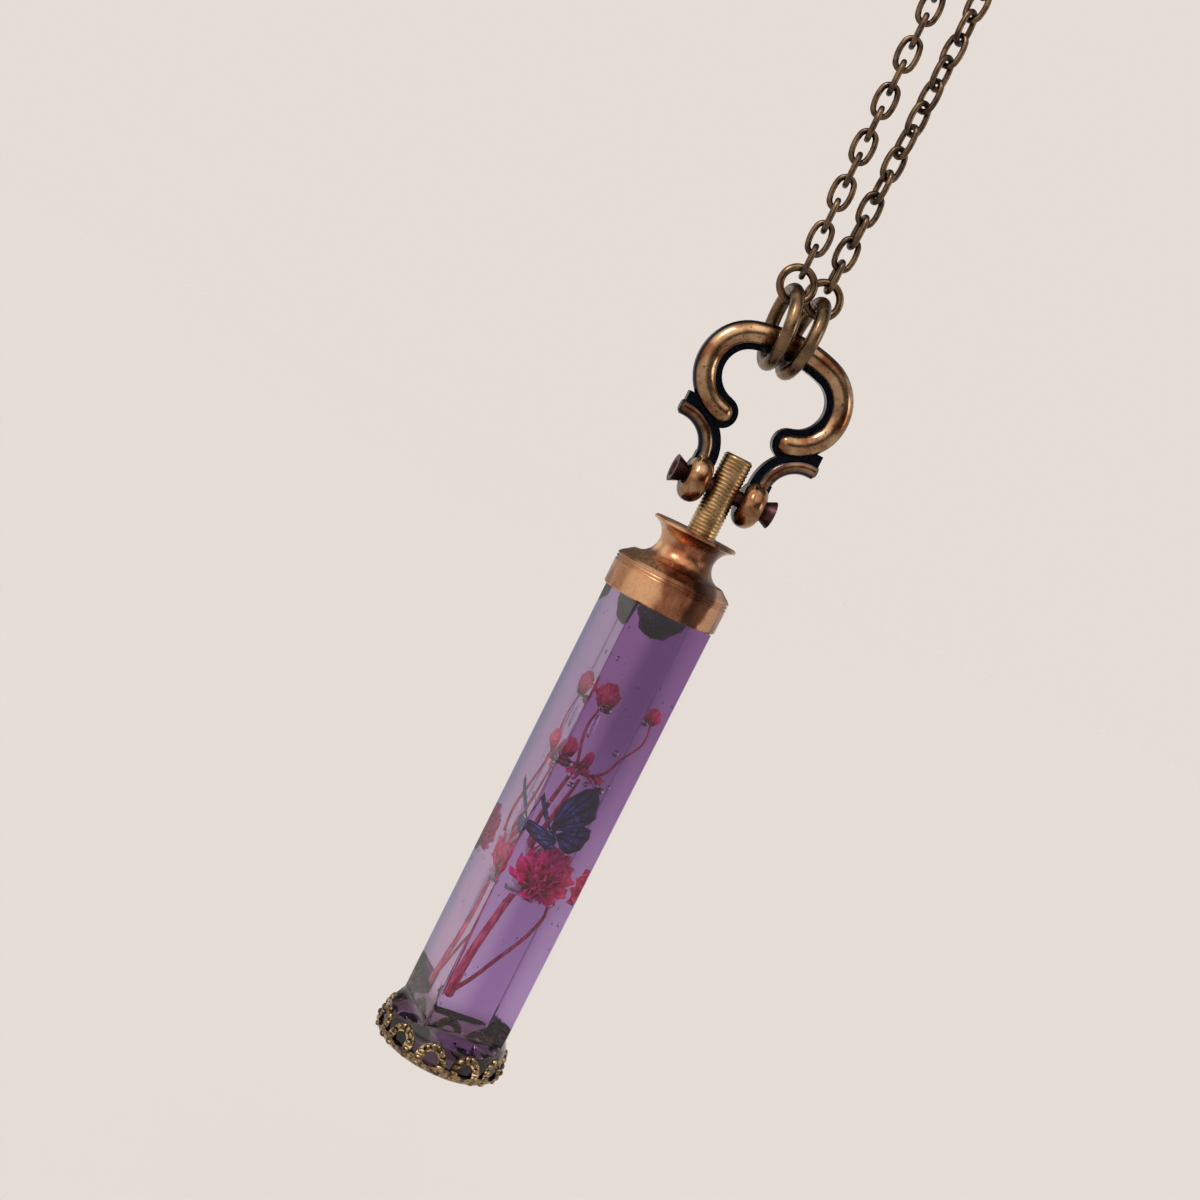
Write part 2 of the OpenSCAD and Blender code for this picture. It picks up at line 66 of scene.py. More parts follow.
forward = Vector((math.sin(view_turn), math.cos(view_turn), 0))
leftward = Vector((-math.cos(view_turn), math.sin(view_turn), 0))
aim = Vector((bar_x, 0, foot_z + aim_up)) + leftward * aim_left
camera_at = aim - forward * view_reach + Vector((0, 0, view_reach * math.tan(view_drop)))
camera = bpy.data.objects.new("camera", bpy.data.cameras.new("camera"))
camera.data.sensor_fit = "HORIZONTAL"
camera.data.angle = 2 * math.atan(view_half_width / (aim - camera_at).length)
camera.data.clip_start = near_clip
camera.location = camera_at
camera.rotation_mode = "QUATERNION"
camera.rotation_quaternion = (
    (aim - camera_at).to_track_quat("-Z", "Y") @ Quaternion((0, 0, 1), view_lean)
)
bpy.context.collection.objects.link(camera)
bpy.context.scene.camera = camera
bpy.context.scene.view_settings.view_transform = "Standard"

# Studio. A pale floor below the hanging necklace, a pale backdrop all round, and a
# room that the metals mirror: bright from the upper left, dim on the viewer's side.


def srgb(code):
    """The linear colour of a hex code such as "8a6a45"."""
    parts = [int(code[i:i + 2], 16) / 255 for i in (0, 2, 4)]
    return tuple(p / 12.92 if p <= 0.04045 else ((p + 0.055) / 1.055) ** 2.4 for p in parts) + (1,)


def add(tree, kind, sockets=(), **settings):
    """Adds a shader node with its settings; a socket is given a value or an output."""
    made = tree.nodes.new("ShaderNode" + kind)
    for name, value in settings.items():
        setattr(made, name, value)
    for name, value in dict(sockets).items():
        if isinstance(value, bpy.types.NodeSocket):
            tree.links.new(value, made.inputs[name])
        else:
            made.inputs[name].default_value = value
    return made


backdrop_colour = srgb("e6dcd6")
room_colour = srgb("fff6ee")
room_dim = 0.14
# Each lobe of the room: the way to it, the cosines of the angles from there at which its
# light starts and is full, and its strength
room_lobes = [((-0.75, -0.45, 0.5), 0.35, 0.98, 1.7), ((0.9, 0.25, 0.15), 0.55, 0.98, 0.9),
              ((-0.58, 0.81, 0.1), 0.88, 0.975, 1.1), ((0.15, -0.6, 0.8), 0.82, 0.97, 1.3)]
cast_in_light = 2.0              # extra share of light on what is cast into the resin
# Each lamp: the way to it, how many degrees wide it looks, and its strength
lamps = {"key_left": ((-0.7, -0.55, 0.75), 14, 1.5), "fill_right": ((0.8, -0.35, 0.2), 24, 0.5)}
floor_drop = 370 * MM            # below the inside top of the chain
floor_half = 3

world = bpy.data.worlds.new("pale_studio")
world.use_nodes = True
bpy.context.scene.world = world
tree = world.node_tree
tree.nodes.clear()
way = add(tree, "TexCoord").outputs["Generated"]
light = room_dim
for toward, start, full, strength in room_lobes:
    near = add(tree, "VectorMath", {0: way, 1: Vector(toward).normalized()}, operation="DOT_PRODUCT")
    lobe = add(tree, "MapRange", {"Value": near.outputs["Value"], "From Min": start, "From Max": full,
                                  "To Max": strength}, interpolation_type="SMOOTHSTEP")
    light = add(tree, "Math", {0: lobe.outputs["Result"], 1: light}, operation="ADD").outputs["Value"]
path = add(tree, "LightPath").outputs
straight = add(tree, "Math", {0: path["Is Camera Ray"], 1: path["Is Transmission Ray"]},
               operation="MAXIMUM").outputs["Value"]
bounced = add(tree, "Math", {0: path["Diffuse Depth"], 1: 0.5}, operation="GREATER_THAN")
shine = add(tree, "Math", {0: bounced.outputs["Value"], 1: cast_in_light, 2: 1.0},
            operation="MULTIPLY_ADD").outputs["Value"]
room = add(tree, "Background", {"Color": room_colour, "Strength": light})
backdrop = add(tree, "Background", {"Color": backdrop_colour, "Strength": shine})
both = add(tree, "MixShader", {"Fac": straight, 1: room.outputs[0], 2: backdrop.outputs[0]})
add(tree, "OutputWorld", {"Surface": both.outputs[0]})

for name, (toward, wide, strength) in lamps.items():
    lamp = bpy.data.lights.new(name, "SUN")
    lamp.angle = math.radians(wide)
    lamp.energy = strength
    lamp.color = room_colour[:3]
    holder = bpy.data.objects.new(name, lamp)
    holder.rotation_euler = Vector(toward).to_track_quat("Z", "Y").to_euler()
    bpy.context.collection.objects.link(holder)


def start_material(name):
    """An empty named material, with its tree and its shader."""
    made = bpy.data.materials.new(name)
    made.use_nodes = True
    return made, made.node_tree, made.node_tree.nodes["Principled BSDF"]


def finish_mesh(name, bm, material, crease=50):
    """Makes an object of a bmesh, smooth but where faces meet at more degrees than crease."""
    mesh = bpy.data.meshes.new(name)
    bm.to_mesh(mesh)
    bm.free()
    mesh.materials.append(material)
    mesh.shade_smooth()
    mesh.set_sharp_from_angle(angle=math.radians(crease))
    made = bpy.data.objects.new(name, mesh)
    bpy.context.collection.objects.link(made)
    return made


floor_paint, tree, shader = start_material("matt_cream_floor")
# Matt paint: even and pale, so it takes light from all round and mirrors nothing.
shader.inputs["Base Color"].default_value = srgb("cecdce")
shader.inputs["Roughness"].default_value = 0.9
shader.inputs["Specular IOR Level"].default_value = 0.1
bm = bmesh.new()
bmesh.ops.create_grid(bm, x_segments=1, y_segments=1, size=floor_half)
bmesh.ops.translate(bm, vec=(0, 0, -floor_drop), verts=bm.verts)
floor = finish_mesh("floor", bm, floor_paint)

# Resin bar. Casting resin dyed violet, cured in a square mould and polished, standing
# in the resin that fills the cap. The air bubbles in it are part of its own surface.

bar_side = 9 * MM
bar_round = 0.3 * MM
bar_turn = math.radians(11.6)
bar_top = 48.24 * MM             # above the arch tops, just under the collar
corner_steps = 6
face_cuts = 11
# The pool inside the cap, in millimetres: how far it reaches from the axis, by height,
# how far it stands out round the bar at the arch tops, how much it draws in for each
# millimetre that it rises, and how high it climbs the right, back, left and front faces
pool = [(-2.5, 5.8), (-2.3, 6.4), (-1.9, 6.72), (-1.3, 6.76), (-0.7, 6.62), (-0.2, 6.52)]
pool_foot = 6.5
pool_draw_in = 0.35
pool_rise = (2.9, 1.15, 1.15, 1.2)

resin, tree, shader = start_material("cast_violet_resin")
# Clear cured resin: it bends light as window glass does, and its colour is in its depth.
shader.inputs["Transmission Weight"].default_value = 1
shader.inputs["Roughness"].default_value = 0.01
shader.inputs["IOR"].default_value = 1.5
dye = add(tree, "VolumeAbsorption", {"Color": srgb("bf90cb"), "Density": 127.0})
tree.links.new(dye.outputs["Volume"], tree.nodes["Material Output"].inputs["Volume"])

# Painted shade in the resin's colour, over its even dye: darker towards the top, painted shade
# of the collar and of what stands behind; darkest in a broad upright band behind the front face,
# a painted shadow; darker and greyer in the pool, painted shade inside the cap. It is also paler
# on the side faces and bluer towards the back of the left face.
band_middle = 0.4 * MM
# Between these distances from the axis the tint goes over to a face's own
face_from = 4.2 * MM
face_full = 4.4 * MM
# Each tint low in the bar and high in it: beside the painted shadow band, in it,
# and on the other faces
tints = {"beside": ("fff3ff", "c4a0d4"), "band": ("bd97cb", "6f4584"), "back": ("c8bced", "936fa0"),
         "side": ("ffffff", "daddeb")}
to_right = Vector((math.cos(bar_turn), math.sin(bar_turn), 0))
to_back = Vector((-math.sin(bar_turn), math.cos(bar_turn), 0))
where = add(tree, "TexCoord").outputs["Object"]
height = add(tree, "SeparateXYZ", {0: where}).outputs["Z"]
from_axis = add(tree, "VectorMath", {0: where, 1: (bar_x, 0, 0)}, operation="SUBTRACT").outputs["Vector"]
across = add(tree, "VectorMath", {0: from_axis, 1: to_right}, operation="DOT_PRODUCT").outputs["Value"]
depth = add(tree, "VectorMath", {0: from_axis, 1: to_back}, operation="DOT_PRODUCT").outputs["Value"]
# Painted shade: every tint deepens towards the top of the bar.
upper = add(tree, "MapRange", {"Value": height, "From Min": foot_z + 6 * MM,
                               "From Max": foot_z + 36 * MM}).outputs["Result"]
tinted = {}
for place, (low, high) in tints.items():
    mixed = add(tree, "Mix", {0: upper, 6: srgb(low), 7: srgb(high)}, data_type="RGBA")
    tinted[place] = mixed.outputs[2]
# Painted shadow: a broad upright band of deeper tint behind the front face.
off = add(tree, "Math", {0: across, 1: band_middle}, operation="SUBTRACT").outputs["Value"]
off = add(tree, "Math", {0: off}, operation="ABSOLUTE").outputs["Value"]
shadow_band = add(tree, "MapRange", {"Value": off, "From Min": 3.4 * MM, "From Max": 0.8 * MM},
              interpolation_type="SMOOTHSTEP").outputs["Result"]
front = add(tree, "Mix", {0: shadow_band, 6: tinted["beside"], 7: tinted["band"]}, data_type="RGBA").outputs[2]
on_left = add(tree, "MapRange", {"Value": across, "From Min": -face_from,
                                 "From Max": -face_full}).outputs["Result"]
far_side = add(tree, "MapRange", {"Value": depth, "From Min": 1.2 * MM,
                                  "From Max": 3.6 * MM}).outputs["Result"]
bluer = add(tree, "Math", {0: on_left, 1: far_side}, operation="MULTIPLY").outputs["Value"]
side = add(tree, "Mix", {0: bluer, 6: tinted["side"], 7: srgb("90c0cb")}, data_type="RGBA",
           blend_type="MULTIPLY").outputs[2]
on_back = add(tree, "MapRange", {"Value": depth, "From Min": face_from,
                                 "From Max": face_full}).outputs["Result"]
on_front = add(tree, "MapRange", {"Value": depth, "From Min": -face_from,
                                  "From Max": -face_full}).outputs["Result"]
# Painted shade: the resin inside the cap takes a dark grey tint.
pool_shade = add(tree, "MapRange", {"Value": height, "From Min": foot_z + 2.4 * MM,
                                 "From Max": foot_z + 0.4 * MM}).outputs["Result"]
tint = add(tree, "Mix", {0: on_back, 6: side, 7: tinted["back"]}, data_type="RGBA").outputs[2]
tint = add(tree, "Mix", {0: on_front, 6: tint, 7: front}, data_type="RGBA").outputs[2]
tint = add(tree, "Mix", {0: pool_shade, 6: tint, 7: srgb("6c5d61")}, data_type="RGBA").outputs[2]
tree.links.new(tint, shader.inputs["Base Color"])

# The polished faces are not quite flat, in waves of about 4 mm.
waves = add(tree, "TexNoise", {"Vector": where, "Scale": 1 / (4 * MM), "Detail": 1.0})
ripple = add(tree, "Bump", {"Height": waves.outputs["Fac"], "Strength": 0.2, "Distance": 0.04 * MM})
tree.links.new(ripple.outputs["Normal"], shader.inputs["Normal"])


def pool_reach(flat, z):
    """How far the pool reaches from the axis in a direction, z millimetres above the arches."""
    turned = Matrix.Rotation(-bar_turn, 3, "Z") @ flat.normalized()
    half_side = bar_side / 2 / MM
    out = pool_foot - pool_draw_in * z
    for rise, toward in zip(pool_rise, (turned.x, turned.y, -turned.x, -turned.y)):
        share = max(1 - z / rise, 0)
        slope = half_side + (pool_foot - half_side) * (0.4 * share + 0.6 * share ** 2)
        if toward > 0.1:
            out = min(out, slope / toward)
    return out * MM


def set_ring(verts, z):
    """Moves a ring to its height in millimetres, and out to the pool where that reaches further."""
    for v in verts:
        flat = outline[v]
        out = reach[z] * MM if z in reach else max(flat.length, pool_reach(flat, z))
        v.co = flat.normalized() * out + Vector((bar_x, 0, foot_z + z * MM))


bm = bmesh.new()
bmesh.ops.create_circle(bm, segments=4, radius=bar_side / math.sqrt(2), cap_ends=True)
bmesh.ops.rotate(bm, verts=bm.verts, matrix=Matrix.Rotation(math.radians(45), 3, "Z"))
bmesh.ops.bevel(bm, geom=bm.verts[:], offset=bar_round, segments=corner_steps, affect="VERTICES",
                profile=0.5, material=-1)
long_edges = [e for e in bm.edges if e.calc_length() > bar_side / 2]
bmesh.ops.subdivide_edges(bm, edges=long_edges, cuts=face_cuts)
bmesh.ops.rotate(bm, verts=bm.verts, matrix=Matrix.Rotation(bar_turn, 3, "Z"))

# Each vertex keeps the place on the bar's own outline that it grew from. The rings'
# heights are in millimetres, and close together where the pool curves.
outline = {v: v.co.copy() for v in bm.verts}
reach = dict(pool)
heights = [z for z, _ in pool] + [0.15 * k for k in range(9)] + [1.2 + 0.17 * k for k in range(1, 11)]
heights += [3.2, 6, 12, 18, 24, 30, 36, 42, bar_top / MM]
ring_edges = bm.edges[:]
set_ring(list(bm.verts), heights[0])
for z in heights[1:]:
    grown = bmesh.ops.extrude_edge_only(bm, edges=ring_edges)["geom"]
    new_edges = [g for g in grown if isinstance(g, bmesh.types.BMEdge)]
    new_verts = [g for g in grown if isinstance(g, bmesh.types.BMVert)]
    old_verts = {v for e in ring_edges for v in e.verts}
    for v in new_verts:
        below = next(e.other_vert(v) for e in v.link_edges if e.other_vert(v) in old_verts)
        outline[v] = outline[below]
    ring_edges = [e for e in new_edges if e.verts[0] in new_verts and e.verts[1] in new_verts]
    set_ring(new_verts, z)
bmesh.ops.contextual_create(bm, geom=ring_edges)
bmesh.ops.recalc_face_normals(bm, faces=bm.faces[:])

# The larger bubbles in millimetres, [right, back, up, radius, height for its width], and
# then many fine ones anywhere in the bar
bubbles = [(1.9, -2.4, 33.5, 0.4, 1), (1.0, -1.8, 40.4, 0.18, 1), (3.2, -1.2, 41.1, 0.2, 1),
           (4.2, -0.6, 39.9, 0.16, 1), (-2.4, -2.6, 42.3, 0.26, 1), (-1.45, -1.4, 35.0, 0.34, 4),
           (3.2, -2.3, 37.6, 0.55, 0.9), (-1.1, -2.1, 37.1, 0.8, 0.6), (-2.5, -2.7, 30.7, 0.95, 0.55),
           (0.1, -5.2, 0.2, 0.2, 1), (-1.9, -3.4, 6.9, 0.13, 1), (-1.1, -3.0, 8.0, 0.1, 1),
           (-1.3, -2.2, 29.7, 0.3, 1), (-0.9, -2.4, 28.8, 0.42, 0.7), (0.6, -1.5, 29.3, 0.36, 0.8),
           (1.6, -1.7, 29.6, 0.34, 1), (2.3, -1.9, 29.3, 0.42, 0.9), (2.9, -1.6, 29.9, 0.25, 1),
           (4.3, -0.2, 14.5, 0.16, 1), (-1.9, -1.6, 26.2, 0.2, 1)]
fine_bubbles = 110
chance = random.Random(11)
for _ in range(fine_bubbles):
    bubbles.append((chance.uniform(-4, 4), chance.uniform(-4, 4), chance.uniform(2.5, 46),
                    0.045 + 0.1 * chance.random() ** 3, 1.1))
for right, back, up, radius, tall in bubbles:
    ball = bmesh.ops.create_icosphere(bm, subdivisions=2, radius=radius * MM)["verts"]
    bmesh.ops.scale(bm, verts=ball, vec=(1, 1, tall))
    bmesh.ops.translate(bm, verts=ball, vec=(bar_x + right * MM, back * MM, foot_z + up * MM))
    # a bubble's skin faces the air inside it
    faces = {f for v in ball for f in v.link_faces}
    bmesh.ops.reverse_faces(bm, faces=list(faces))
cast_resin = finish_mesh("cast_resin", bm, resin, crease=28)
even = cast_resin.modifiers.new("even", "WEIGHTED_NORMAL")
even.keep_sharp = True
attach(cast_resin, "drop")
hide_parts("resin_bar")

# Bead cap. Stamped brass with an antique finish: the CAD shell is pierced in arches,
# and a row of cast grains stands along each arch, golden on top and dark between, with
# patina and painted shade in the gaps.


def aged_metal(name, tones, roughness, patch, recess_reach, recess_full=0.45, recess_none=0.95,
               streak=1.0, flank=None):
    """Plated metal in four tones: rubbed and plain ones in patches, a stained one in spots,
    and a dark one in recesses, for patina there and painted shade where the open sky is hidden.
    A streak under 1 draws the patches out upright. With flank the metal is dark up to the
    first distance from the middle plane, painted shade on the flanks, and clear past the next.
    Lengths are in millimetres."""
    rubbed, body, stained, recess = [srgb(code) for code in tones]
    made, tree, shader = start_material(name)
    where = add(tree, "TexCoord").outputs["Object"]
    placed = add(tree, "Mapping", {"Vector": where, "Scale": (1, 1, streak)}).outputs["Vector"]
    patches = add(tree, "TexNoise", {"Vector": placed, "Scale": 1 / (patch * MM), "Detail": 4.0,
                                     "Roughness": 0.6}).outputs["Fac"]
    share = add(tree, "MapRange", {"Value": patches, "From Min": 0.38, "From Max": 0.62})
    tone = add(tree, "Mix", {0: share.outputs["Result"], 6: body, 7: rubbed}, data_type="RGBA")
    spots = add(tree, "TexNoise", {"Vector": where, "Scale": 1 / (0.45 * MM), "Detail": 3.0}).outputs["Fac"]
    spotted = add(tree, "MapRange", {"Value": spots, "From Min": 0.6, "From Max": 0.74, "To Max": 0.75})
    tone = add(tree, "Mix", {0: spotted.outputs["Result"], 6: tone.outputs[2], 7: stained}, data_type="RGBA")
    # Painted shade: the recess tone is laid on by how little open sky a point sees, for patina and shade in
    # hollows.
    open_sky = add(tree, "AmbientOcclusion", {"Distance": recess_reach * MM}, only_local=True, samples=6)
    dark = add(tree, "MapRange", {"Value": open_sky.outputs["AO"], "From Min": recess_full,
                                  "From Max": recess_none, "To Min": 1.0, "To Max": 0.0})
    dark = dark.outputs["Result"]
    # Painted shade: the flanks near the middle plane are darkened too.
    if flank:
        depth = add(tree, "SeparateXYZ", {0: where}).outputs["Y"]
        depth = add(tree, "Math", {0: depth}, operation="ABSOLUTE").outputs["Value"]
        side = add(tree, "MapRange", {"Value": depth, "From Min": flank[0] * MM, "From Max": flank[1] * MM,
                                      "To Min": 1.0, "To Max": 0.0})
        dark = add(tree, "Math", {0: dark, 1: side.outputs["Result"]}, operation="MAXIMUM").outputs["Value"]
    tone = add(tree, "Mix", {0: dark, 6: tone.outputs[2], 7: recess}, data_type="RGBA")
    tree.links.new(tone.outputs[2], shader.inputs["Base Color"])
    wear_and_sheen = add(tree, "MapRange", {"Value": spots, "From Min": 0.3, "From Max": 0.7,
                                  "To Min": roughness - 0.06, "To Max": roughness + 0.12})
    tree.links.new(wear_and_sheen.outputs["Result"], shader.inputs["Roughness"])
    fine = add(tree, "TexNoise", {"Vector": where, "Scale": 1 / (0.25 * MM), "Detail": 3.0})
    bump = add(tree, "Bump", {"Height": fine.outputs["Fac"], "Strength": 0.5, "Distance": 0.012 * MM})
    tree.links.new(bump.outputs["Normal"], shader.inputs["Normal"])
    shader.inputs["Metallic"].default_value = 1
    return made


def dress(material, *names):
    """Gives CAD nodes a material."""
    for name in names:
        for slot in nodes[name].material_slots:
            slot.material = material


# Antique brass, golden on its grains, and dark between them: patina where polish can't reach,
# and painted shade in the recesses.
cap_brass = aged_metal("antique_brass_cap", ("a8906c", "3e2e24", "241f1e", "121118"), roughness=0.24,
                       patch=0.5, recess_reach=0.9, recess_full=0.65, recess_none=1.0)
dress(cap_brass, "bead_cap")

cap_r = 7 * MM
cap_h = 3.2 * MM
cap_edge_r = 1.2 * MM
cap_lean = math.radians(14)
arches = 11
arch_turn = math.radians(-104.5)
arch_half = 1.22 * MM            # from an arch's middle to the line of its grains
grains_in_arch = 10
grain_r = 0.31 * MM
grain_sink = 0.2 * grain_r       # how deep a grain's middle lies in the shell
grain_shape = (0.9, 1.45, 0.95)  # each grain is a barrel laid across the band
grain_foot = 0.6 * MM            # height of an arch's lowest grains above the base


def cap_radius(up):
    """The cap's outer radius at a height above its base."""
    tip = cap_edge_r * (1 + math.sin(cap_lean))
    if up < tip:
        return cap_r - cap_edge_r + math.sqrt(max(cap_edge_r ** 2 - (up - cap_edge_r) ** 2, 0))
    return cap_r - cap_edge_r * (1 - math.cos(cap_lean)) - (up - tip) * math.tan(cap_lean)


bm = bmesh.new()
leg = cap_h - arch_half - grain_r - grain_foot
bend = math.pi * arch_half
for i in range(arches):
    middle = arch_turn + i * 2 * math.pi / arches
    for k in range(grains_in_arch):
        # up one leg, round the bend and down the other leg; a grain lies across the band,
        # so it stands up and down at the arch's top and is level on its legs
        s = k / (grains_in_arch - 1) * (2 * leg + bend)
        swing = 0
        if s < leg:
            across, up = -arch_half, grain_foot + s
        elif s < leg + bend:
            a = (s - leg) / arch_half
            across, up = -arch_half * math.cos(a), grain_foot + leg + arch_half * math.sin(a)
            swing = math.copysign(math.pi / 2 - abs(math.pi / 2 - a), -across)
        else:
            across, up = arch_half, grain_foot + 2 * leg + bend - s
        r = cap_radius(up) - grain_sink
        turn = middle + across / cap_r
        grain = bmesh.ops.create_icosphere(bm, subdivisions=2, radius=grain_r * chance.uniform(0.94, 1.06))
        grain = grain["verts"]
        bmesh.ops.scale(bm, verts=grain, vec=grain_shape)
        stand = Matrix.Rotation(turn, 3, "Z") @ Matrix.Rotation(swing, 3, "X")
        bmesh.ops.rotate(bm, verts=grain, matrix=stand)
        bmesh.ops.translate(bm, verts=grain, vec=(bar_x + r * math.cos(turn), r * math.sin(turn),
                                                  foot_z - cap_h + up))
grains = finish_mesh("cap_grains", bm, cap_brass)
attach(grains, "drop")

# Collar. A turned brass end cap with a copper wash, rubbed thin: the band is gold where the
# wash has gone and brown between, in upright patches from handling. Four upright bands over
# them are painted reflections, pale and dark, of the room mirrored round the band.

# Copper wash over brass: a warm satin gloss, brighter where handling has thinned it, and
# brightest in the painted reflections.
collar_wash = aged_metal("worn_copper_wash", ("b98664", "7a4934", "4a2c22", "1e120d"), roughness=0.24,
                         patch=4.0, recess_reach=0.5, recess_full=0.3, recess_none=0.8, streak=0.45)
# Painted reflections, as upright bands in millimetres: [middle, half width, tone, how much of it]
painted_reflection_bands = [(-3.2, 2.2, "c89e78", 0.75), (2.7, 1.5, "35201a", 0.85), (4.6, 0.9, "b69070", 0.7),
           (-5.9, 0.7, "4a2c20", 0.6)]
wander_by = 1.2 * MM             # how far a patch's edges stray to either side
tree = collar_wash.node_tree
shader = tree.nodes["Principled BSDF"]
where = add(tree, "TexCoord").outputs["Object"]
wander = add(tree, "TexNoise", {"Vector": where, "Scale": 1 / (2.5 * MM), "Detail": 3.0}).outputs["Fac"]
shift = add(tree, "Math", {0: wander, 1: 2 * wander_by, 2: -wander_by},
            operation="MULTIPLY_ADD").outputs["Value"]
across = add(tree, "SeparateXYZ", {0: where}).outputs["X"]
across = add(tree, "Math", {0: across, 1: shift}, operation="ADD").outputs["Value"]
wear_and_sheen = shader.inputs["Base Color"].links[0].from_socket
# Each band paints a reflection into the colour: pale ones mirror the room's light, dark ones its dim side.
for middle, half, tone, full in painted_reflection_bands:
    off = add(tree, "Math", {0: across, 1: middle * MM}, operation="SUBTRACT").outputs["Value"]
    off = add(tree, "Math", {0: off}, operation="ABSOLUTE").outputs["Value"]
    share = add(tree, "MapRange", {"Value": off, "From Min": 0.5 * half * MM, "From Max": half * MM,
                                   "To Min": full, "To Max": 0.0}, interpolation_type="SMOOTHSTEP")
    wear_and_sheen = add(tree, "Mix", {0: share.outputs["Result"], 6: wear_and_sheen, 7: srgb(tone)}, data_type="RGBA").outputs[2]
tree.links.new(wear_and_sheen, shader.inputs["Base Color"])
dress(collar_wash, "collar")

# Glue peg. The lump of dark glue that fixes the bar in the collar. It was stirred full
# of air, and it set hanging into the bar's top.

peg_r = 2.55 * MM
peg_deep = 2.85 * MM
peg_top = bar_top - 0.05 * MM    # just inside the bar's top face
# How uneven the lump is: how often for its size, and by what share of its radius
peg_lumps = [(2.3, 0.16), (6, 0.08), (15, 0.03)]

peg_glue, tree, shader = start_material("dark_glue")
# Set glue: a smooth dark gloss, with the froth in it as fine paler specks.
where = add(tree, "TexCoord").outputs["Object"]
froth = add(tree, "TexVoronoi", {"Vector": where, "Scale": 1 / (0.5 * MM)})
foam = add(tree, "MapRange", {"Value": froth.outputs["Distance"], "From Min": 0.1, "From Max": 0.3,
                              "To Min": 1.0, "To Max": 0.0})
tone = add(tree, "Mix", {0: foam.outputs["Result"], 6: srgb("120c20"), 7: srgb("4c3c66")}, data_type="RGBA")
tree.links.new(tone.outputs[2], shader.inputs["Base Color"])
shader.inputs["Roughness"].default_value = 0.2
bm = bmesh.new()
lump = bmesh.ops.create_icosphere(bm, subdivisions=5, radius=1)["verts"]
for v in lump:
    rough = 1 + sum(share * noise.noise(v.co * often) for often, share in peg_lumps)
    v.co = Vector((v.co.x * peg_r, v.co.y * peg_r, min(v.co.z, 0) * peg_deep)) * rough
    v.co += Vector((bar_x, 0, foot_z + peg_top))
glue_lump = finish_mesh("glue_lump", bm, peg_glue)
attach(glue_lump, "drop")
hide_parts("glue_peg")

# Stud. A brass screw with a fine rolled thread and a plain chamfered end, screwed into
# the collar and drilled for the cross pin.

# Bare screw brass: a dull straw gloss, with its tarnish in dark spots.
stud_brass = aged_metal("tarnished_screw_brass", ("a98c64", "7c6142", "3a2a1e", "221810"), roughness=0.3,
                        patch=1.6, recess_reach=0.3, recess_full=0.5)
stud_x = 1.1 * MM
stud_r = 1.55 * MM
pin_low, pin_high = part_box("cross_pin")
pin_z = (pin_low.z + pin_high.z) / 2
stud_foot = pin_z - 9.3 * MM
stud_top = pin_z + 3.8 * MM
thread_pitch = 0.38 * MM
thread_depth = 0.09 * MM
crest = (0.42, 0.58)             # where in each turn its flat crest starts and ends
plain_end = 0.45 * MM
plain_r = stud_r - 0.02 * MM
chamfer = 0.25 * MM
spin_steps = 72

bm = bmesh.new()
z = stud_foot
line = [bm.verts.new((0, 0, z)), bm.verts.new((stud_r - thread_depth, 0, z))]
while z < stud_top - plain_end - thread_pitch:
    line += [bm.verts.new((stud_r, 0, z + thread_pitch * share)) for share in crest]
    line.append(bm.verts.new((stud_r - thread_depth, 0, z + thread_pitch)))
    z += thread_pitch
for r, z in [(plain_r, stud_top - plain_end), (plain_r, stud_top - chamfer), (stud_r - chamfer, stud_top),
             (0, stud_top)]:
    line.append(bm.verts.new((r, 0, z)))
profile = [bm.edges.new(pair) for pair in zip(line, line[1:])]
bmesh.ops.spin(bm, geom=line + profile, cent=(0, 0, 0), axis=(0, 0, 1), angle=2 * math.pi,
               steps=spin_steps, use_merge=True)
bmesh.ops.remove_doubles(bm, verts=bm.verts, dist=0.002 * MM)
bmesh.ops.recalc_face_normals(bm, faces=bm.faces[:])
bmesh.ops.translate(bm, verts=bm.verts, vec=(stud_x, 0, 0))
screw = finish_mesh("threaded_stud", bm, stud_brass, crease=80)
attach(screw, "drop")
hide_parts("stud")

# Dried sprig. A fine red stalk with side shoots, pressed dry and laid in the mould
# before the resin was poured; it meets the flower head, the buds and a small knot.

# All that is cast in is laid out from the middle of the bar's foot, in millimetres, as
# [right, back, up], and faces the viewer
sprig = Matrix.Translation((bar_x, 0, foot_z)) @ Matrix.Rotation(-view_turn, 4, "Z")
root = (-2.3, -0.2, 3.9)
knot = (-1, -0.2, 30.6)
fork = (-1.1, -1, 14.8)
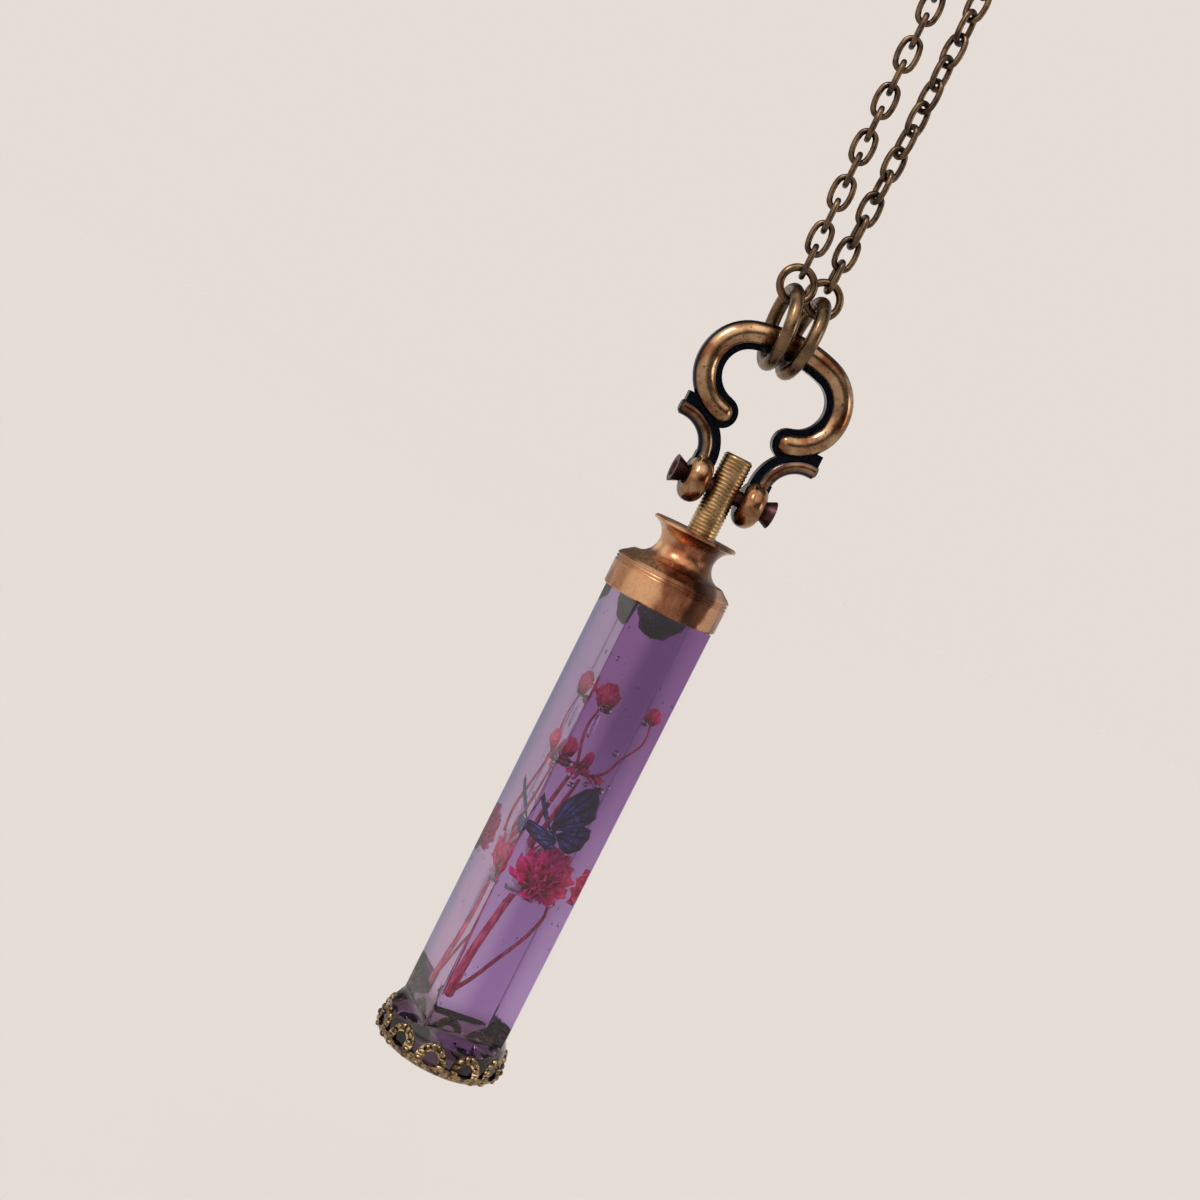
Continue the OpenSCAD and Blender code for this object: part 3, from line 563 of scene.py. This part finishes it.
# Each shoot has its radius at both ends and the points that it passes
shoots = [
    (0.52, 0.36, [root, (-2.15, -1, 7), (-1.8, -1.5, 10), (-1.35, -1.4, 13), fork, (-0.8, -0.6, 16.2)]),
    (0.3, 0.2, [(-1.9, 1.2, 20.8), (-2.3, 1.2, 23), (-1.9, 0.6, 26), (-1.3, 0, 29), knot]),
    (0.34, 0.2, [(-1.6, -0.6, 21), (-0.9, -0.9, 24.2), (-0.4, -0.9, 27), (0, -0.8, 29.4)]),
    (0.26, 0.17, [root, (-0.8, 0.2, 6.2), (0.5, 0.3, 8.7), (1.7, 0.3, 10.9), (2.7, 0.3, 13.2),
                  (3.1, 0.3, 15.2), (2.6, 0.3, 17)]),
    (0.2, 0.14, [knot, (-1.85, -0.3, 34.4), (-1.35, -0.45, 37.3)]),
    (0.2, 0.12, [knot, (0.4, -0.6, 30.1), (1.9, -0.9, 30.8), (3.2, -1.3, 33.2), (4.5, -1.8, 35.6),
                 (4.2, -1.6, 38)]),
    (0.18, 0.12, [knot, (-1.9, -1.2, 30.8), (-2.5, -1.8, 31.4)]),
    (0.12, 0.05, [knot, (0.1, -1.2, 31.4), (0.5, -1.5, 32.2)])]
# Where the stalk swells, and the radius there
swellings = [(root, 0.6), (knot, 0.45), (fork, 0.42)]

stalk, tree, shader = start_material("dried_red_stalk")
# Dried stem: matt, with fine paler fibres along it, drawn five times as long as wide.
where = add(tree, "TexCoord").outputs["Object"]
fibre = add(tree, "Mapping", {"Vector": where, "Scale": (1, 1, 0.2)}).outputs["Vector"]
streaks = add(tree, "TexNoise", {"Vector": fibre, "Scale": 1 / (0.3 * MM), "Detail": 3.0}).outputs["Fac"]
share = add(tree, "MapRange", {"Value": streaks, "From Min": 0.4, "From Max": 0.65})
tone = add(tree, "Mix", {0: share.outputs["Result"], 6: srgb("981848"), 7: srgb("cc5c7c")}, data_type="RGBA")
tree.links.new(tone.outputs[2], shader.inputs["Base Color"])
shader.inputs["Roughness"].default_value = 0.55


def grow(bm, thick, thin, points):
    """Adds a round shoot in a smooth line through its points, tapering along it."""
    line = bpy.data.curves.new("shoot", "CURVE")
    line.dimensions = "3D"
    line.bevel_depth = MM
    line.bevel_resolution = 3
    line.resolution_u = 8
    line.use_fill_caps = True
    run = line.splines.new("BEZIER")
    run.bezier_points.add(len(points) - 1)
    for k, (mark, place) in enumerate(zip(run.bezier_points, points)):
        mark.co = sprig @ (Vector(place) * MM)
        mark.handle_left_type = mark.handle_right_type = "AUTO"
        mark.radius = thick + (thin - thick) * k / (len(points) - 1)
    holder = bpy.data.objects.new("shoot", line)
    bm.from_mesh(holder.to_mesh())
    holder.to_mesh_clear()
    bpy.data.objects.remove(holder)
    bpy.data.curves.remove(line)


def add_lump(bm, place, radius, often, uneven, subdivisions=3):
    """Adds a ball round a place in the sprig and returns its vertices. It is uneven by a
    share of its radius, so often for each millimetre."""
    ball = bmesh.ops.create_icosphere(bm, subdivisions=subdivisions, radius=radius * MM)["verts"]
    for v in ball:
        v.co *= 1 + uneven * noise.noise(v.co * often / MM)
    bmesh.ops.translate(bm, verts=ball, vec=sprig @ (Vector(place) * MM))
    return ball


bm = bmesh.new()
for thick, thin, points in shoots:
    grow(bm, thick, thin, points)
for place, radius in swellings:
    add_lump(bm, place, radius, 2.4, 0.25, subdivisions=2)
stalks = finish_mesh("dried_stalks", bm, stalk)
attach(stalks, "drop")
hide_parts("flower_stems")

# Flower head and buds. Papery dried petals, magenta in the head and faded to coral on
# its right, and coral red in the buds; each petal is one thin ruffled sheet.


def petal_paper(name, deep, full, tip, faded=None):
    """Dried petal: matt and fibrous, changing colour from its root to its tip, and to the
    faded tone on the bar's right where one is given."""
    made, tree, shader = start_material(name)
    along = add(tree, "Attribute", attribute_name="along").outputs["Fac"]
    where = add(tree, "TexCoord").outputs["Object"]
    veins = add(tree, "TexNoise", {"Vector": where, "Scale": 1 / (0.35 * MM), "Detail": 3.0}).outputs["Fac"]
    wander = add(tree, "MapRange", {"Value": veins, "To Min": -0.3, "To Max": 0.3}).outputs["Result"]
    place = add(tree, "Math", {0: along, 1: wander}, operation="ADD").outputs["Value"]
    low = add(tree, "MapRange", {"Value": place, "From Min": 0.1, "From Max": 0.6})
    high = add(tree, "MapRange", {"Value": place, "From Min": 0.75, "From Max": 1.15})
    tone = add(tree, "Mix", {0: low.outputs["Result"], 6: srgb(deep), 7: srgb(full)}, data_type="RGBA")
    tone = add(tree, "Mix", {0: high.outputs["Result"], 6: tone.outputs[2], 7: srgb(tip)}, data_type="RGBA")
    if faded:
        across = add(tree, "SeparateXYZ", {0: where}).outputs["X"]
        right = add(tree, "MapRange", {"Value": across, "From Min": bar_x + 1.6 * MM,
                                       "From Max": bar_x + 3.2 * MM, "To Max": 0.8}).outputs["Result"]
        tone = add(tree, "Mix", {0: right, 6: tone.outputs[2], 7: srgb(faded)}, data_type="RGBA")
    tree.links.new(tone.outputs[2], shader.inputs["Base Color"])
    shader.inputs["Roughness"].default_value = 0.5
    return made


def add_petal(bm, layer, root_at, tip_at, width, curl, ruffle, shade):
    """Adds one petal from its root to its tip, in millimetres: a sheet narrowed at both
    ends, curled and ruffled. Its layer says how far from the root a point's colour is."""
    root_at, tip_at = sprig @ (Vector(root_at) * MM), sprig @ (Vector(tip_at) * MM)
    sheet = bmesh.ops.create_grid(bm, x_segments=4, y_segments=5, size=0.5)["verts"]
    toward = tip_at - root_at
    length = toward.length
    phase = chance.uniform(0, 6)
    turn = toward.to_track_quat("Y", "Z").to_matrix() @ Matrix.Rotation(chance.uniform(0, 6.28), 3, "Y")
    for v in sheet:
        side, t = v.co.x * 2, v.co.y + 0.5
        wide = width * MM * (0.22 + 0.78 * math.sin(math.pi * min(0.12 + 0.62 * t, 1)))
        v[layer] = t * shade
        flat = Vector((side * wide / 2, length * (t - 0.16 * t * side * side), 0))
        flat.z = length * curl * t * t + width * MM * 0.3 * side * side
        flat.z += ruffle * MM * t * t * math.sin(side * 5 + phase)
        v.co = root_at + turn @ flat


def finish_sheets(name, bm, material, thick, node_name=None):
    """Makes a piece of thin sheets with a thickness in millimetres. Where a CAD node is
    named, the piece replaces it."""
    sheets = finish_mesh(name, bm, material)
    wall = sheets.modifiers.new("wall", "SOLIDIFY")
    wall.thickness = thick * MM
    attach(sheets, "drop")
    if node_name:
        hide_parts(node_name)


head_paper = petal_paper("dried_magenta_petals", "8c043e", "f20c86", "f65aa8", faded="e04c6c")
bud_paper = petal_paper("dried_coral_petals", "801040", "d02864", "e48496")
petal_thick = 0.05               # in millimetres
head_at = Vector((1.1, 0.2, 18.7))
head_up = Vector((0.4, -0.2, 0.88)).normalized()
head_wide = 4.1
head_bare = 0.55                 # cosine of the angle round its foot that bears no petals
head_room = 3.15                 # from the head's middle to the bar's right face
right_face = Vector((math.cos(bar_turn + view_turn), math.sin(bar_turn + view_turn), 0))
petals_in_head = 180

bm = bmesh.new()
layer = bm.verts.layers.float.new("along")
for _ in range(petals_in_head):
    away = Vector((chance.gauss(0, 1), chance.gauss(0, 1), chance.gauss(0, 1))).normalized()
    if away.dot(head_up) < -head_bare:
        away = -away
    far = head_wide * chance.uniform(0.72, 1.0) * (1 - 0.16 * abs(away.dot(head_up)))
    far = min(far, head_room / max(away.dot(right_face), 0.1))
    add_petal(bm, layer, head_at - head_up * 1.1 + away * 0.5, head_at + away * far,
              chance.uniform(0.9, 1.4), chance.uniform(-0.2, 0.2), 0.13, chance.uniform(0.7, 1.2))
for v in add_lump(bm, head_at - head_up * 0.4, 2.1, 1.5, 0.3):
    v[layer] = 0.1
finish_sheets("flower_petals", bm, head_paper, petal_thick, "flower_head")

# Each bud has its node, its place, its size and the way it points
buds = [("bud_top", (-1.25, -0.5, 38.4), 1.45, (-0.1, -0.2, 1)),
        ("bud_right", (4.2, -1.6, 38.5), 0.9, (0.1, 0, 1)),
        ("bud_left", (-2.6, -1.9, 32.2), 1.15, (-0.4, 0, 1))]
# Its rings of petals: how many, and how far out and up their tips are for the bud's size
bud_rings = [(7, 0.9, 1.15), (6, 0.6, 1.6), (4, 0.25, 1.75)]
for node_name, place, size, way in buds:
    bm = bmesh.new()
    layer = bm.verts.layers.float.new("along")
    up = Vector(way).normalized()
    side = up.orthogonal().normalized()
    foot_at = Vector(place) - up * size * 0.9
    for v in add_lump(bm, place, size * 0.8, 2.2, 0.2):
        v[layer] = 0.5
    for count, spread, tall in bud_rings:
        for k in range(count):
            out = Quaternion(up, 2 * math.pi * k / count + spread * 3) @ side
            tip_at = foot_at + up * size * tall + out * size * spread
            add_petal(bm, layer, foot_at + out * size * 0.12, tip_at, size * 0.95, -0.12, 0.07,
                      chance.uniform(0.75, 1.1))
    finish_sheets(node_name + "_petals", bm, bud_paper, petal_thick, node_name)

# Small leaves. Crimson ones grow round the knot, and the flower head sits in a calyx of
# silvery ones, all dried thin and pressed flat.

calyx_film, tree, shader = start_material("silvery_calyx")
# Dried sepal: a thin skin with a faint silk gloss, mottled grey and near white.
where = add(tree, "TexCoord").outputs["Object"]
veins = add(tree, "TexNoise", {"Vector": where, "Scale": 1 / (0.3 * MM), "Detail": 3.0}).outputs["Fac"]
tone = add(tree, "Mix", {0: veins, 6: srgb("8a7890"), 7: srgb("f4eef8")}, data_type="RGBA")
tree.links.new(tone.outputs[2], shader.inputs["Base Color"])
shader.inputs["Roughness"].default_value = 0.3
# Each leaf has its root, its tip and its width
leaf_groups = {
    "knot_leaves": (head_paper, [
        ((-0.2, -0.5, 30.4), (-0.1, -0.6, 32.5), 1.0), ((-0.8, -0.4, 30.6), (-0.4, -0.6, 32), 0.6),
        ((-1, -0.2, 30.6), (-1.6, -0.5, 29.4), 0.6), ((0.2, -0.8, 30.2), (1.3, -1.2, 29.4), 0.8),
        ((0.9, -1, 30.2), (2.3, -1.3, 29.6), 0.8), ((1.5, -0.9, 30.7), (2.6, -1.1, 30.3), 0.6),
        ((-0.3, -1, 30.2), (-0.6, -1.4, 29.2), 0.7), ((-0.6, -0.6, 30.4), (0.6, -1, 30.3), 0.9)]),
    "calyx": (calyx_film, [
        ((0.2, -0.6, 16.3), (-2, -1.6, 17), 1.0), ((0.2, -0.8, 16.2), (-1.2, -1.6, 16), 0.8),
        ((0.3, -0.8, 16.2), (1.5, -1.6, 15.9), 0.9), ((0, -0.6, 16.3), (-1.7, -0.8, 18.2), 0.9),
        ((-1.2, -0.8, 20), (-2, -1.2, 22), 0.8), ((-0.8, -1, 20.6), (-0.2, -1.6, 22.2), 0.8)])}
for name, (film, leaves) in leaf_groups.items():
    bm = bmesh.new()
    layer = bm.verts.layers.float.new("along")
    for root_at, tip_at, width in leaves:
        add_petal(bm, layer, root_at, tip_at, width, 0.1, 0.06, 0.7)
    finish_sheets(name, bm, film, petal_thick)

# Butterfly. Cut from thin printed film: dark blue wings with brighter cells between
# the veins, folded up from a small dark body.

vein_gaps = 7                    # cells between veins across each wing
vein_bow = 0.3                   # how far a wing bows out between its root and its edge
wing_thick = 0.06                # in millimetres

wing_film, tree, shader = start_material("blue_wing_film")
# Printed film: a soft sheen, with mottled blue cells that darken to the root and the rim.
across = add(tree, "Attribute", attribute_name="vein").outputs["Fac"]
along = add(tree, "Attribute", attribute_name="along").outputs["Fac"]
where = add(tree, "TexCoord").outputs["Object"]
mottle = add(tree, "TexNoise", {"Vector": where, "Scale": 1 / (0.5 * MM), "Detail": 3.0}).outputs["Fac"]
beat = add(tree, "Math", {0: across, 1: vein_gaps * math.pi}, operation="MULTIPLY").outputs["Value"]
wave = add(tree, "Math", {0: beat}, operation="SINE").outputs["Value"]
between = add(tree, "Math", {0: wave}, operation="ABSOLUTE").outputs["Value"]
cell = add(tree, "MapRange", {"Value": between, "From Min": 0.3, "From Max": 0.75}).outputs["Result"]
rise = add(tree, "MapRange", {"Value": along, "From Min": 0.2, "From Max": 0.45}).outputs["Result"]
fall = add(tree, "MapRange", {"Value": along, "From Min": 0.68, "From Max": 0.85, "To Min": 1.0,
                              "To Max": 0.0}).outputs["Result"]
patch = add(tree, "MapRange", {"Value": mottle, "From Min": 0.4, "From Max": 0.6}).outputs["Result"]
glow = cell
for share in (rise, fall, patch):
    glow = add(tree, "Math", {0: glow, 1: share}, operation="MULTIPLY").outputs["Value"]
tone = add(tree, "Mix", {0: glow, 6: srgb("10142e"), 7: srgb("4668b4")}, data_type="RGBA")
pale = add(tree, "Math", {0: cell, 1: 0.18}, operation="MULTIPLY").outputs["Value"]
tone = add(tree, "Mix", {0: pale, 6: tone.outputs[2], 7: srgb("5c5a8c")}, data_type="RGBA")
tree.links.new(tone.outputs[2], shader.inputs["Base Color"])
shader.inputs["Roughness"].default_value = 0.35

# Each wing has its root and the points round its edge
wings = [
    ((-0.3, -2.1, 23.7), [(-0.35, -2.1, 25), (-0.25, -2, 26.7), (0.6, -1.9, 28.2), (1.7, -1.8, 29.2),
                          (2.6, -1.7, 29.5), (3, -1.6, 28.4), (3.5, -1.6, 27), (3.3, -1.6, 25.9),
                          (2.4, -1.8, 25), (1.3, -1.9, 24.1)]),
    ((0.5, -2.2, 23.5), [(2.3, -2, 25.1), (2.8, -2, 25.4), (3.7, -1.9, 25.3), (3.9, -1.9, 24.5),
                         (3.6, -1.9, 23.1), (2.7, -2, 22.2), (1.7, -2.1, 22.3), (1.3, -2.2, 22.9)]),
    ((1, -2.3, 23), [(0.3, -2.4, 23.6), (-1.2, -2.6, 23.7), (-2.4, -2.8, 23.9), (-2.7, -2.9, 23.5),
                     (-2.3, -2.9, 22.8), (-1.2, -2.8, 22.2), (0.1, -2.6, 21.8), (0.9, -2.5, 21.9)]),
    ((0.1, -2, 23.3), [(-1.2, -1, 24.8), (-2.4, 0.1, 25.9), (-3.2, 0.9, 26.9), (-3.1, 0.8, 26.1),
                       (-2, -0.3, 24.8), (-1, -1.1, 23.9)])]


def along_line(points, s):
    """The place at share s of a smooth line through the points."""
    k = min(int(s * (len(points) - 1)), len(points) - 2)
    f = s * (len(points) - 1) - k
    a, b, c, d = (Vector(points[min(max(j, 0), len(points) - 1)]) for j in range(k - 1, k + 3))
    return 0.5 * (
        2 * b + (c - a) * f + (2 * a - 5 * b + 4 * c - d) * f ** 2 + (3 * b - a - 3 * c + d) * f ** 3
    )


bm = bmesh.new()
vein_layer = bm.verts.layers.float.new("vein")
along_layer = bm.verts.layers.float.new("along")
for root_at, edge in wings:
    sheet = bmesh.ops.create_grid(bm, x_segments=28, y_segments=12, size=0.5)["verts"]
    root_at = Vector(root_at)
    for v in sheet:
        s, t = v.co.x + 0.5, v.co.y + 0.5
        v[vein_layer], v[along_layer] = s, t
        far = along_line(edge, s) - root_at
        scallop = 1 + 0.02 * math.cos(s * 2 * vein_gaps * math.pi) * t
        bow_out = Vector((0, vein_bow * t * (1 - t) * math.sin(math.pi * s), 0))
        v.co = sprig @ ((root_at + far * t * scallop + bow_out) * MM)
bmesh.ops.remove_doubles(bm, verts=bm.verts, dist=0.001 * MM)
bmesh.ops.recalc_face_normals(bm, faces=bm.faces[:])
finish_sheets("butterfly_wings", bm, wing_film, wing_thick, "butterfly")

hide, tree, shader = start_material("dark_insect_body")
# Fine hair on a dark skin: matt, with faint paler flecks.
where = add(tree, "TexCoord").outputs["Object"]
hairs = add(tree, "TexNoise", {"Vector": where, "Scale": 1 / (0.15 * MM)}).outputs["Fac"]
tone = add(tree, "Mix", {0: hairs, 6: srgb("0c0c16"), 7: srgb("3a3850")}, data_type="RGBA")
tree.links.new(tone.outputs[2], shader.inputs["Base Color"])
shader.inputs["Roughness"].default_value = 0.6
butterfly_at = Vector((0.2, -2, 23.3))
# Head, chest and tail: how far up from the middle, radius, and height for its width
segments = [(0.9, 0.3, 1.1), (0, 0.36, 2.0), (-1.0, 0.28, 2.6)]
bm = bmesh.new()
for up, size, tall in segments:
    segment = bmesh.ops.create_icosphere(bm, subdivisions=2, radius=size * MM)["verts"]
    bmesh.ops.scale(bm, verts=segment, vec=(1, 1, tall))
    bmesh.ops.translate(bm, verts=segment, vec=sprig @ ((butterfly_at + Vector((0, 0, up))) * MM))
for side in (-1, 1):
    feeler = [(0, 0, 1), (0.6 * side, -0.2, 2.1), (1.3 * side, -0.3, 2.9)]
    grow(bm, 0.05, 0.03, [butterfly_at + Vector(step) for step in feeler])
body = finish_mesh("butterfly_body", bm, hide)
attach(body, "drop")

# Cross pin. A steel pin with a flared, cupped head at each end, pushed through the bow's
# two bosses and the stud, which turns on it.

# Dark plating: a soft brown-black gloss, with no gold rubbed through.
pin_plate = aged_metal("dark_plated_steel", ("4c3234", "2c1a1d", "1a1112", "0e0a0b"), roughness=0.4,
                       patch=1.2, recess_reach=0.4)
dress(pin_plate, "cross_pin")

# Bow, jump rings, chain and clasp. Cast and drawn brass with an antique finish, rubbed to
# gold and copper in patches on what stands proud, and dark and bluish in the recesses, with
# patina and painted shade there.

# Polished casting: sharp gold and copper highlights on top, and a blue-black web; the dark near
# the middle plane is painted shade on the mouldings' flanks.
bow_brass = aged_metal("antique_brass_casting", ("a88a6a", "684028", "33221c", "1c212a"), roughness=0.16,
                       patch=3.0, recess_reach=0.9, recess_none=0.9, flank=(0.6, 0.85))
# Thick drawn wire: an even brown gloss, paler in patches.
ring_brass = aged_metal("antique_brass_wire", ("765f45", "4a3a2e", "30251f", "141214"), roughness=0.26,
                        patch=1.8, recess_reach=0.5)
# Thin drawn wire: less rubbed, so darker, and near black where links meet, with patina and
# painted shade between them.
chain_brass = aged_metal("antique_brass_links", ("68543f", "3d302a", "26201e", "121012"), roughness=0.3,
                         patch=1.4, recess_reach=0.5)
dress(bow_brass, "bow")
dress(ring_brass, "big_ring_left", "big_ring_right", "small_ring_left", "small_ring_right", "clasp_ring",
      "clasp")
dress(chain_brass, "chain_left", "chain_right")
